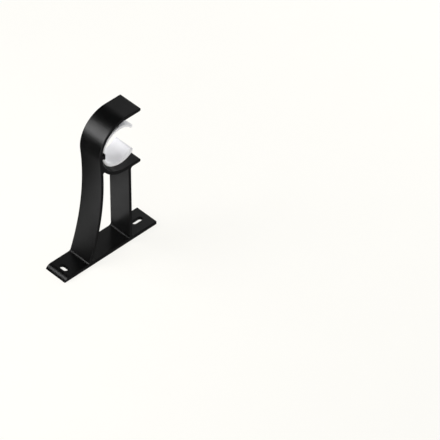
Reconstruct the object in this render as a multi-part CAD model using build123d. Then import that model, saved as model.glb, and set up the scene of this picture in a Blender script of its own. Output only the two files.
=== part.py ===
from build123d import *
import math
import os

# A curtain pole bracket: a length of extruded aluminium with a flat base, two legs and a
# U-shaped mouth, and a plastic clip that slides on a T-shaped rib inside the mouth.
# X runs along the base, Y across the width and Z up from the mounting face.
# The origin is the middle of the mounting face. All sizes are in millimetres.

# The pole and the plastic clip that grips it
pole_diameter = 28.0
clip_wall = 2.6
clip_width = 17.0
clip_half_mouth_angle = 40.0
clip_finger_cut_angle = 25.0
clip_finger_round = 1.1
clip_edge_bevel = 0.5

# The extrusion's width and its base
bracket_width = 20.2
base_length = 87.1
base_thickness = 3.0
base_nose_round = 5.0
base_end_round = 0.6

# The mouth: a half circle with two straight arms
mouth_radius = 21.3
mouth_wall = 2.8
mouth_axis_height = 92.2
mouth_centre_x = 15.5
upper_arm_length = 14.5
lower_arm_length = 13.7
arm_tip_round = 1.2

# The legs
leg_wall = 2.4
curved_leg_radius = 183.0
curved_leg_crest_height = 71.6
straight_leg_outer_x = 20.25
foot_round = 2.0
leg_top_round = 0.8
lip_root_round = 1.6

# The T-shaped rib and the fit of the clip on it
clip_standoff = 0.9
rib_neck_height = 3.0
rib_head_height = 4.6
rib_head_thickness = 0.8
rib_skin = 1.0
rib_round = 0.25
rib_clearance = 0.1

# The two screw slots, one across the width and one along the length
slot_width = 4.3
cross_slot_length = 7.8
cross_slot_x = -35.55
long_slot_length = 9.4
long_slot_x = 34.05

# The saw-cut edges of the extrusion, which are broken by a small bevel
cut_edge_bevel = 0.3

# Sizes that follow from the ones above
clip_bore_radius = pole_diameter / 2
clip_outer_radius = clip_bore_radius + clip_wall
mouth_outer_radius = mouth_radius + mouth_wall
mouth_bottom_x = mouth_centre_x - mouth_radius
upper_tip_x = mouth_centre_x + upper_arm_length
lower_tip_x = mouth_centre_x + lower_arm_length
pole_x = mouth_bottom_x + clip_standoff + clip_outer_radius
rib_end_x = pole_x - clip_bore_radius - rib_skin
rib_head_x = rib_end_x - rib_head_thickness
curved_leg_rise = mouth_axis_height - curved_leg_crest_height
curved_leg_reach = math.sqrt((curved_leg_radius + mouth_outer_radius) ** 2 - curved_leg_rise**2)
curved_leg_centre_x = mouth_centre_x - curved_leg_reach


def box(low_x, high_x, low_z, high_z):
    """A rectangle of the profile between two heights and two places along the base."""
    middle = Pos((low_x + high_x) / 2, (low_z + high_z) / 2)
    return middle * Rectangle(high_x - low_x, high_z - low_z)


def round_corner(profile, x, z, radius, reach=1.0):
    """Rounds the profile's corner at (x, z), which has to lie within the given reach."""
    corner = profile.vertices().sort_by_distance((x, z, 0))[0]
    if (Vector(x, z, 0) - Vector(*corner)).length > reach:
        raise ValueError(f"no corner near ({x:.2f}, {z:.2f})")
    return fillet(corner, radius)


def leg_x(radius, z):
    """Where an arc about the curved leg's centre stands at a height."""
    return curved_leg_centre_x + math.sqrt(radius**2 - (z - curved_leg_crest_height) ** 2)


def base_profile():
    """The flat base, whose end beyond the bowed leg rolls off in a round nose."""
    half = base_length / 2
    nose_x = math.sqrt(2 * base_nose_round * base_thickness - base_thickness**2) - half
    nose = Pos(nose_x, base_thickness - base_nose_round) * Circle(base_nose_round)
    nose &= box(-half, nose_x, 0, base_thickness)
    return nose + box(nose_x, half, 0, base_thickness)


def mouth_profile():
    """The wall of the mouth: a half ring and two level arms."""
    centre = Pos(mouth_centre_x, mouth_axis_height)
    wall = centre * (Circle(mouth_outer_radius) - Circle(mouth_radius))
    wall -= box(
        mouth_centre_x,
        mouth_centre_x + 2 * mouth_outer_radius,
        mouth_axis_height - 2 * mouth_outer_radius,
        mouth_axis_height + 2 * mouth_outer_radius,
    )
    wall += box(
        mouth_centre_x,
        upper_tip_x,
        mouth_axis_height + mouth_radius,
        mouth_axis_height + mouth_outer_radius,
    )
    wall += box(
        mouth_centre_x,
        lower_tip_x,
        mouth_axis_height - mouth_outer_radius,
        mouth_axis_height - mouth_radius,
    )
    return wall


def curved_leg_profile():
    """The bowed leg, whose outer face runs into the outside of the mouth without a kink."""
    inner_radius = curved_leg_radius + leg_wall
    share = curved_leg_radius / (curved_leg_radius + mouth_outer_radius)
    join_x = curved_leg_centre_x + share * curved_leg_reach
    join_z = curved_leg_crest_height + share * curved_leg_rise
    inner_top_z = mouth_axis_height - mouth_radius / 3
    outer = ThreePointArc(
        (leg_x(curved_leg_radius, 0), 0),
        (leg_x(curved_leg_radius, join_z / 2), join_z / 2),
        (join_x, join_z),
    )
    inner = ThreePointArc(
        (leg_x(inner_radius, inner_top_z), inner_top_z),
        (leg_x(inner_radius, inner_top_z / 2), inner_top_z / 2),
        (leg_x(inner_radius, 0), 0),
    )
    return make_face([outer, Line(outer @ 1, inner @ 0), inner, Line(inner @ 1, outer @ 0)])


def crotch():
    """The lower point where the bowed leg's inner arc meets the outside of the mouth."""
    inner_radius = curved_leg_radius + leg_wall
    apart = curved_leg_radius + mouth_outer_radius
    along = (apart**2 + inner_radius**2 - mouth_outer_radius**2) / (2 * apart)
    aside = math.sqrt(inner_radius**2 - along**2)
    run = curved_leg_reach / apart
    rise = curved_leg_rise / apart
    return (
        curved_leg_centre_x + along * run + aside * rise,
        curved_leg_crest_height + along * rise - aside * run,
    )


def straight_leg_profile():
    """The upright leg under the lower arm of the mouth."""
    top_z = mouth_axis_height - mouth_radius - mouth_wall / 2
    return box(straight_leg_outer_x - leg_wall, straight_leg_outer_x, 0, top_z)


def rib_profile(clearance=0.0):
    """The T-shaped rib, or, with a clearance, the groove that slides over it."""
    neck = rib_neck_height / 2 + clearance
    head = rib_head_height / 2 + clearance
    root_x = mouth_bottom_x - mouth_wall / 2
    rib = box(root_x, rib_end_x, mouth_axis_height - neck, mouth_axis_height + neck)
    rib += box(rib_head_x - clearance, rib_end_x, mouth_axis_height - head, mouth_axis_height + head)
    return rib


def bracket_profile():
    """The cross-section of the extrusion without its rib, and with its corners rounded."""
    profile = base_profile() + curved_leg_profile()
    profile += straight_leg_profile()
    profile += mouth_profile()
    profile = round_corner(profile, base_length / 2, base_thickness, base_end_round)
    outer_foot_x = leg_x(curved_leg_radius, base_thickness)
    inner_foot_x = leg_x(curved_leg_radius + leg_wall, base_thickness)
    inner_leg_x = straight_leg_outer_x - leg_wall
    for foot_x in (outer_foot_x, inner_foot_x, inner_leg_x, straight_leg_outer_x):
        profile = round_corner(profile, foot_x, base_thickness, foot_round)
    profile = round_corner(profile, *crotch(), leg_top_round)
    under_z = mouth_axis_height - mouth_outer_radius
    profile = round_corner(profile, inner_leg_x, under_z, lip_root_round)
    profile = round_corner(profile, straight_leg_outer_x, under_z, lip_root_round)
    for side, tip_x in ((-1, lower_tip_x), (1, upper_tip_x)):
        for radius in (mouth_radius, mouth_outer_radius):
            corner_z = mouth_axis_height + side * radius
            profile = round_corner(profile, tip_x, corner_z, arm_tip_round)
    return profile


def rounded_rib_profile():
    """The T-shaped rib with its two outer corners rounded."""
    rib = rib_profile()
    for side in (-1, 1):
        rib = round_corner(rib, rib_end_x, mouth_axis_height + side * rib_head_height / 2, rib_round)
    return rib


def finger_cut():
    """How far behind the pole's axis the two cuts that end the fingers would meet."""
    middle_radius = (clip_bore_radius + clip_outer_radius) / 2
    where = math.radians(clip_half_mouth_angle)
    slope = math.tan(math.radians(clip_finger_cut_angle))
    return middle_radius * (math.sin(where) / slope - math.cos(where))


def clip_profile():
    """The plastic C with its two free fingers, cut on a slant and rounded."""
    centre = Pos(pole_x, mouth_axis_height)
    ring = centre * (Circle(clip_outer_radius) - Circle(clip_bore_radius))
    behind = finger_cut()
    run = math.cos(math.radians(clip_finger_cut_angle))
    rise = math.sin(math.radians(clip_finger_cut_angle))
    far = 3 * clip_outer_radius
    far_x = far * run - behind
    wedge = Polygon((-behind, 0), (far_x, -far * rise), (far_x, far * rise), align=None)
    profile = ring - centre * wedge
    for radius in (clip_bore_radius, clip_outer_radius):
        along = behind * run + math.sqrt(radius**2 - (behind * rise) ** 2)
        corner_x = pole_x - behind + along * run
        for side in (-1, 1):
            corner_z = mouth_axis_height + side * along * rise
            profile = round_corner(profile, corner_x, corner_z, clip_finger_round)
    return profile


def extruded(profile, width):
    """The profile, drawn as X and Z, made as wide as asked about the middle of the width."""
    return extrude(Plane.XZ * profile, width / 2, both=True)


def cut_edges(solid, width):
    """The edges round the two flat faces that close an extruded solid."""
    edges = []
    for side in (-1, 1):
        edges += solid.edges().filter_by_position(
            Axis.Y, side * width / 2 - 0.01, side * width / 2 + 0.01
        )
    return edges


def screw_slot(x, length, turn):
    """A cutter for a round-ended slot through the base, turned about the vertical."""
    slot = Pos(x, 0, -base_thickness) * Rot(0, 0, turn) * SlotOverall(length, slot_width)
    return extrude(slot, 3 * base_thickness)


def bracket_body():
    """The aluminium extrusion, cut to width, with its screw slots."""
    body = extruded(bracket_profile(), bracket_width)
    body = chamfer(cut_edges(body, bracket_width), cut_edge_bevel)
    body += extruded(rounded_rib_profile(), bracket_width)
    body -= screw_slot(cross_slot_x, cross_slot_length, 90)
    body -= screw_slot(long_slot_x, long_slot_length, 0)
    return body


def pole_clip():
    """The plastic clip, a little narrower than the extrusion."""
    clip = extruded(clip_profile(), clip_width)
    clip = chamfer(cut_edges(clip, clip_width), clip_edge_bevel)
    return clip - extruded(rib_profile(rib_clearance), 2 * clip_width)


os.makedirs("parts", exist_ok=True)
for name, piece in {"bracket_body": bracket_body(), "pole_clip": pole_clip()}.items():
    piece.label = name
    export_step(piece, f"parts/{name}.step")
    size = piece.bounding_box().size
    print(f"{name}: {size.X:.2f} x {size.Y:.2f} x {size.Z:.2f} mm, {piece.volume / 1000:.2f} cm3")
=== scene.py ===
# %% [markdown]
# # A curtain pole bracket
# The bracket is a length of extruded aluminium, coated satin black, with a white plastic clip
# that slides on a rib in its mouth. Both shapes come ready made from the CAD frame, with their
# real arcs, slots and broken edges, so nothing is modelled twice here. What this lesson adds is
# how the two materials look, and a small white studio that shows them.

# %% Load the frame
import math

import bpy
import numpy as np
from mathutils import Matrix, Vector


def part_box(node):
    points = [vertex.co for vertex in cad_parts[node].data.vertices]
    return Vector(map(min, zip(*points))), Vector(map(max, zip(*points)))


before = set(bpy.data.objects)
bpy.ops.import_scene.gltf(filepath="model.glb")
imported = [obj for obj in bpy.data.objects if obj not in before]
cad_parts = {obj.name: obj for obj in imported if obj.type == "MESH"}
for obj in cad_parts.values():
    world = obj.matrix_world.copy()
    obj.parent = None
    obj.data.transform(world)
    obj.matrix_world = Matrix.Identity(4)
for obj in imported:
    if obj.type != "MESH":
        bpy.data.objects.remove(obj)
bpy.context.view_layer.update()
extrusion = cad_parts["bracket_body"]
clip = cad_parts["pole_clip"]
for piece in (extrusion, clip):
    low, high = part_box(piece.name)
    print(piece.name, "spans", [round(1000 * side, 1) for side in high - low], "mm")

# %% [markdown]
# ## Colours, lengths and nodes
# Colours are easier to choose as the hex values of a screen, but Blender shades in linear light,
# so one function undoes the screen's curve. Patterns are easier to judge in millimetres, so
# another turns the spacing of a pattern into the scale that a texture needs. A third adds a node:
# its inputs are plain values or the outputs of other nodes, so a material reads from top to
# bottom. The last one links what a material has worked out to its shader.

# %% Helpers for materials
# A Mix node has several pairs of inputs called A and B, so they are reached by their numbers.
value_a, value_b = 2, 3
colour_a, colour_b, mixed_colour = 6, 7, 2
# Most of a noise texture lies between these two values.
noise_low, noise_high = 0.3, 0.7


def linear(hex_colour):
    """sRGB hex to linear light: a straight part near black, then a power of 2.4."""
    channels = np.array([int(hex_colour[i:i + 2], 16) for i in (1, 3, 5)]) / 255
    curved = np.where(channels <= 0.04045, channels / 12.92, ((channels + 0.055) / 1.055) ** 2.4)
    return (*curved.tolist(), 1.0)


def per_metre(spacing_mm):
    """The texture scale at which a noise repeats about once every spacing."""
    return 1000.0 / spacing_mm


def add(tree, kind, inputs=None, **settings):
    """Adds one node, sets its options, then fills its inputs by name or by number."""
    node = tree.nodes.new(kind)
    for name, value in settings.items():
        setattr(node, name, value)
    for key, value in (inputs or {}).items():
        if isinstance(value, bpy.types.NodeSocket):
            tree.links.new(value, node.inputs[key])
        else:
            node.inputs[key].default_value = value
    return node


def new_material(name):
    """An empty node material with its Principled shader, ready to be filled."""
    material = bpy.data.materials.new(name)
    material.use_nodes = True
    return material, material.node_tree, material.node_tree.nodes["Principled BSDF"]


def link_shader(tree, shader, colour, roughness, normal):
    """Links a material's colour, its roughness and its bumped normal to the shader."""
    for name, output in (("Base Color", colour), ("Roughness", roughness), ("Normal", normal)):
        tree.links.new(output, shader.inputs[name])


print("mid grey #808080 is", round(linear("#808080")[0], 3), "in linear light")

# %% [markdown]
# ## The satin black coat
# The bracket's section was pressed through a steel die, sawn to width and then coated. Each step
# leaves something to see. The die draws faint lines across the width of every extruded face. The
# saw leaves finer lines along the two cut faces. The coat sprays on a little uneven, with a soft
# pebbled skin, and lies thinnest on the sharp edges.
#
# A painted texture would need a map of every face. Here the surface's own direction tells the
# faces apart: a cut face looks straight along Y, an extruded face looks across it, and only the
# small bevel between them looks half one way and half the other.

# %% Where the extruded faces, cut faces and bevels are
# How much of a face's direction lies along Y: all of it on a cut face, about 0.7 on a bevel.
bevel_starts, bevel_full = 0.2, 0.6
cut_starts, cut_full = 0.85, 0.97
coat, tree, shader = new_material("satin_black_coat_on_aluminium")
place = add(tree, "ShaderNodeTexCoord")
facing = add(tree, "ShaderNodeSeparateXYZ", {"Vector": place.outputs["Normal"]})
sideways = add(tree, "ShaderNodeMath", {0: facing.outputs["Y"]}, operation="ABSOLUTE")
cut_face = add(tree, "ShaderNodeMapRange", {
    "Value": sideways.outputs[0], "From Min": cut_starts, "From Max": cut_full})
beside_edge = add(tree, "ShaderNodeMapRange", {
    "Value": sideways.outputs[0], "From Min": bevel_starts, "From Max": bevel_full})
bevel = add(tree, "ShaderNodeMath", {0: beside_edge.outputs[0], 1: cut_face.outputs[0]},
            operation="SUBTRACT")
print(coat.name, "tells three kinds of face apart by their direction")

# %% The marks of die, saw and spray
# Real die and saw lines are about 0.1 mm apart. Here they are drawn much coarser, so that they
# show at all.
die_lines_mm, die_run_mm = 0.9, 80.0
saw_lines_mm, saw_run_mm, saw_slant = 0.8, 30.0, 0.35
pebble_mm, cloud_mm, wear_mm = 0.7, 9.0, 2.5

die_space = add(tree, "ShaderNodeMapping", {
    "Vector": place.outputs["Object"],
    "Scale": (per_metre(die_lines_mm), per_metre(die_run_mm), per_metre(die_lines_mm))})
die_lines = add(tree, "ShaderNodeTexNoise", {
    "Vector": die_space.outputs[0], "Scale": 1.0, "Detail": 2.0})
saw_space = add(tree, "ShaderNodeMapping", {
    "Vector": place.outputs["Object"], "Rotation": (0.0, saw_slant, 0.0),
    "Scale": (per_metre(saw_run_mm), per_metre(saw_run_mm), per_metre(saw_lines_mm))})
saw_lines = add(tree, "ShaderNodeTexNoise", {
    "Vector": saw_space.outputs[0], "Scale": 1.0, "Detail": 2.0})
lines = add(tree, "ShaderNodeMix", {
    "Factor": cut_face.outputs[0], value_a: die_lines.outputs[0], value_b: saw_lines.outputs[0]})
pebbles = add(tree, "ShaderNodeTexNoise", {
    "Vector": place.outputs["Object"], "Scale": per_metre(pebble_mm), "Detail": 1.0})
clouds = add(tree, "ShaderNodeTexNoise", {
    "Vector": place.outputs["Object"], "Scale": per_metre(cloud_mm), "Detail": 3.0})
wear = add(tree, "ShaderNodeTexNoise", {
    "Vector": place.outputs["Object"], "Scale": per_metre(wear_mm), "Detail": 4.0})
print("lines every", die_lines_mm, "mm, pebbles of", pebble_mm, "mm, clouds of", cloud_mm, "mm")

# %% The coat's colour and wear
# A dielectric coat: black pigment, so nearly all the light that the eye gets is reflected by the
# skin. Where it is thin, on the bevels, the metal greys it a little.
black_low, black_high, thin_coat = linear("#030303"), linear("#060606"), linear("#1C1C1D")
wear_starts, wear_full, least_wear = 0.35, 0.7, 0.3
shade = add(tree, "ShaderNodeMix", {
    "Factor": clouds.outputs[0], colour_a: black_low, colour_b: black_high}, data_type="RGBA")
worn = add(tree, "ShaderNodeMapRange", {
    "Value": wear.outputs[0], "From Min": wear_starts, "From Max": wear_full,
    "To Min": least_wear})
worn_edge = add(tree, "ShaderNodeMath", {0: bevel.outputs[0], 1: worn.outputs[0]},
                operation="MULTIPLY", use_clamp=True)
colour = add(tree, "ShaderNodeMix", {
    "Factor": worn_edge.outputs[0], colour_a: shade.outputs[mixed_colour], colour_b: thin_coat},
    data_type="RGBA")
print("wear on the bevels goes from", least_wear, "to 1")

# %% The coat's gloss and skin
# A roughness of about 0.32 blurs the studio into soft bands. The lines change it a little up and
# down, and both the lines and the pebbles are a few hundredths of a millimetre deep.
coat_smooth, coat_rough, line_rough = 0.29, 0.35, 0.06
pebble_strength, line_strength, skin_depth = 0.6, 0.8, 0.00003
cloud_gloss = add(tree, "ShaderNodeMapRange", {
    "Value": clouds.outputs[0], "From Min": noise_low, "From Max": noise_high,
    "To Min": coat_smooth, "To Max": coat_rough})
line_gloss = add(tree, "ShaderNodeMath", {
    0: lines.outputs[0], 1: line_rough, 2: -line_rough / 2}, operation="MULTIPLY_ADD")
gloss = add(tree, "ShaderNodeMath", {0: cloud_gloss.outputs[0], 1: line_gloss.outputs[0]},
            operation="ADD")
pebbled = add(tree, "ShaderNodeBump", {
    "Height": pebbles.outputs[0], "Strength": pebble_strength, "Distance": skin_depth})
lined = add(tree, "ShaderNodeBump", {
    "Height": lines.outputs[0], "Strength": line_strength, "Distance": skin_depth,
    "Normal": pebbled.outputs[0]})
link_shader(tree, shader, colour.outputs[mixed_colour], gloss.outputs[0], lined.outputs[0])
shader.inputs["IOR"].default_value = 1.5
extrusion.material_slots[0].material = coat
print(coat.name, "has", len(tree.nodes), "nodes")

# %% [markdown]
# ## The clip's white plastic
# The clip is moulded in one shot, probably in nylon or polypropylene. Plastic of this kind lets
# light a millimetre or two in and out again, so its shadows are soft, and even a finger that
# stands in the black arm's shade stays pale. Its skin has the fine eroded texture of the mould. A
# plain white would look like plaster, so all of the clip's colour goes through the shader's
# subsurface light, under a soft sheen and a very fine bump.

# %% White moulded plastic
plastic, tree, shader = new_material("white_moulded_plastic")
place = add(tree, "ShaderNodeTexCoord")
mould_mm, flow_mm = 0.6, 7.0
plastic_low, plastic_high = linear("#E4E4E6"), linear("#EDEDEF")
plastic_smooth, plastic_rough = 0.36, 0.44
mould_strength, mould_depth, light_depth = 0.2, 0.00002, 0.0015
mould_skin = add(tree, "ShaderNodeTexNoise", {
    "Vector": place.outputs["Object"], "Scale": per_metre(mould_mm), "Detail": 2.0})
flow = add(tree, "ShaderNodeTexNoise", {
    "Vector": place.outputs["Object"], "Scale": per_metre(flow_mm), "Detail": 2.0})
colour = add(tree, "ShaderNodeMix", {
    "Factor": flow.outputs[0], colour_a: plastic_low, colour_b: plastic_high}, data_type="RGBA")
gloss = add(tree, "ShaderNodeMapRange", {
    "Value": flow.outputs[0], "From Min": noise_low, "From Max": noise_high,
    "To Min": plastic_smooth, "To Max": plastic_rough})
skin = add(tree, "ShaderNodeBump", {
    "Height": mould_skin.outputs[0], "Strength": mould_strength, "Distance": mould_depth})
link_shader(tree, shader, colour.outputs[mixed_colour], gloss.outputs[0], skin.outputs[0])
shader.inputs["Subsurface Weight"].default_value = 1.0
shader.inputs["Subsurface Radius"].default_value = (1.0, 1.0, 1.0)
shader.inputs["Subsurface Scale"].default_value = light_depth
clip.material_slots[0].material = plastic
print(plastic.name, "has", len(tree.nodes), "nodes")

# %% [markdown]
# ## The floor
# Catalogue pictures stand on white card that is lit from behind, so that it burns out to an even
# white and keeps hardly any shadow. The floor here does the same: most of its white is its own
# light, and the rest is ordinary matt card that can take a faint shadow. It is kept out of the
# reflections, where the small cards of the next step stand in for it.

# %% White card, lit from behind
floor_half, floor_drop = 3.0, 0.0002
grid = np.array([(-1, -1), (1, -1), (1, 1), (-1, 1)]) * floor_half
corners = np.column_stack([grid, np.full(4, -floor_drop)])
floor_mesh = bpy.data.meshes.new("floor")
floor_mesh.from_pydata(corners.tolist(), [], [(0, 1, 2, 3)])
floor = bpy.data.objects.new("floor", floor_mesh)
bpy.context.scene.collection.objects.link(floor)

mottle_mm, card_rough, card_glow = 40.0, 0.9, 0.855
card_low, card_high = linear("#6C6B67"), linear("#706F6B")
card, tree, shader = new_material("white_card")
place = add(tree, "ShaderNodeTexCoord")
mottle = add(tree, "ShaderNodeTexNoise", {
    "Vector": place.outputs["Object"], "Scale": per_metre(mottle_mm), "Detail": 3.0})
colour = add(tree, "ShaderNodeMix", {
    "Factor": mottle.outputs[0], colour_a: card_low, colour_b: card_high}, data_type="RGBA")
tree.links.new(colour.outputs[mixed_colour], shader.inputs["Base Color"])
shader.inputs["Roughness"].default_value = card_rough
shader.inputs["Specular IOR Level"].default_value = 0.0
shader.inputs["Emission Color"].default_value = linear("#FFFEFA")
shader.inputs["Emission Strength"].default_value = card_glow
floor_mesh.materials.append(card)
floor.visible_glossy = False
print("floor of", 2 * floor_half, "m, square")

# %% [markdown]
# ## The light
# Black gloss shows what stands round it, so each face of the bracket is lit by putting a panel
# where that face's mirror image lies. A softbox behind on the left draws the bright band round
# the hook. A dim panel behind on the right greys the level tops. Three small cards on the floor
# grey the legs, and leave their feet dark, where they see only the black base. Four more cards,
# one in front on the left, a long low one behind and one flat on the floor beyond each end, give
# the sides that this camera doesn't see some shape too.
#
# The white clip needs the opposite: even light from all round. Three wide fills give it that,
# and are kept out of the reflections, so that they don't wash out the black.
#
# A panel's power is worked out from how bright it should look: an area light of brightness B and
# area A sends out pi times A times B watts.

# %% Panels
hook, pole, tops = (0.0, 0.0, 0.105), (0.01, 0.0, 0.09), (0.03, 0.0, 0.05)
card_height, overhead = 0.0006, 1.0


def panel(name, centre, look_at, width, height, brightness, matt=True, gloss=True):
    """A soft rectangular light that looks at a place, for matt surfaces, gloss or both."""
    light = bpy.data.lights.new(name, "AREA")
    light.shape = "RECTANGLE"
    light.size, light.size_y = width, height
    light.energy = math.pi * width * height * brightness
    lamp = bpy.data.objects.new(name, light)
    bpy.context.scene.collection.objects.link(lamp)
    aim = (Vector(look_at) - Vector(centre)).to_track_quat("-Z", "Y")
    lamp.matrix_world = Matrix.LocRotScale(Vector(centre), aim, None)
    lamp.visible_camera = False
    lamp.visible_diffuse, lamp.visible_glossy = matt, gloss
    print(name, "gives", round(light.energy, 3), "W")


def floor_card(name, x, y, width, height, brightness, matt=True):
    """A panel that lies just above the floor and looks straight up."""
    panel(name, (x, y, card_height), (x, y, overhead), width, height, brightness, matt=matt)


panel("hook_softbox", (-0.174, 0.101, 0.224), hook, 0.12, 0.17, 4.2)
panel("top_panel", (0.427, 0.258, 0.42), tops, 0.32, 0.36, 0.52)
floor_card("left_floor_card", -0.080, 0.044, 0.036, 0.038, 0.66)
floor_card("middle_floor_card", -0.0405, 0.035, 0.041, 0.026, 0.65)
floor_card("right_floor_card", -0.004, 0.0305, 0.032, 0.039, 0.50)
panel("front_card", (-0.60, -0.60, 0.25), pole, 0.50, 0.50, 1.0, matt=False)
panel("back_card", (0.35, 0.75, 0.13), pole, 1.10, 0.24, 0.6, matt=False)
floor_card("left_card", -0.31, -0.10, 0.34, 0.36, 0.8, matt=False)
floor_card("right_card", 0.26, 0.12, 0.34, 0.34, 0.8, matt=False)
panel("right_fill", (0.75, -0.15, 0.26), pole, 0.90, 0.50, 4.0, gloss=False)
panel("back_fill", (-0.50, 0.60, 0.75), pole, 0.80, 0.80, 3.5, gloss=False)
panel("left_fill", (-0.90, -0.20, 0.35), pole, 0.80, 0.60, 4.7, gloss=False)

# %% The room
# The room is dim, and a little lighter low down in front on the right, where the near faces are
# mirrored.
room_dim, room_glow = 0.025, 0.12
glow_way, glow_starts, glow_full = (0.5, -0.5, -0.7), 0.2, 0.9
world = bpy.data.worlds.new("grey_room")
bpy.context.scene.world = world
world.use_nodes = True
tree = world.node_tree
direction = add(tree, "ShaderNodeTexCoord")
towards = add(tree, "ShaderNodeVectorMath", {0: direction.outputs["Generated"], 1: glow_way},
              operation="DOT_PRODUCT")
glow = add(tree, "ShaderNodeMapRange", {
    "Value": towards.outputs["Value"], "From Min": glow_starts, "From Max": glow_full,
    "To Min": room_dim, "To Max": room_glow})
tree.links.new(glow.outputs[0], tree.nodes["Background"].inputs["Strength"])
tree.nodes["Background"].inputs["Color"].default_value = linear("#FFFFFF")
bpy.context.scene.view_settings.view_transform = "Standard"
print(world.name, "goes from", room_dim, "to", room_glow, "low in front")

# %% [markdown]
# ## The camera
# The picture was taken with a long lens from above and to the left, so the bracket's parallel
# edges stay almost parallel. The direction, the small roll and the place were worked out from
# the bracket's own straight edges and arcs.

# %% A long lens from above the left end
image_side, sensor, focal_pixels = 440, 36.0, 3000.0
azimuth, elevation, roll = math.radians(-44.503), math.radians(42.764), math.radians(0.527)
eye = Vector((-1.01388, -1.14971, 1.44167))
back = Vector((math.sin(azimuth) * math.cos(elevation),
               -math.cos(azimuth) * math.cos(elevation), math.sin(elevation)))
level = Vector((math.cos(azimuth), math.sin(azimuth), 0.0))
steep = back.cross(level)
right = math.cos(roll) * level + math.sin(roll) * steep
up = math.cos(roll) * steep - math.sin(roll) * level
lens = bpy.data.cameras.new("camera")
lens.sensor_width = sensor
lens.lens = focal_pixels / image_side * sensor
lens.clip_start, lens.clip_end = 0.1, 20.0
camera = bpy.data.objects.new("camera", lens)
bpy.context.scene.collection.objects.link(camera)
camera.matrix_world = Matrix.LocRotScale(eye, Matrix((right, up, back)).transposed(), None)
bpy.context.scene.camera = camera
print("lens of", round(lens.lens, 1), "mm at", round(eye.length, 2), "m from the bracket's foot")
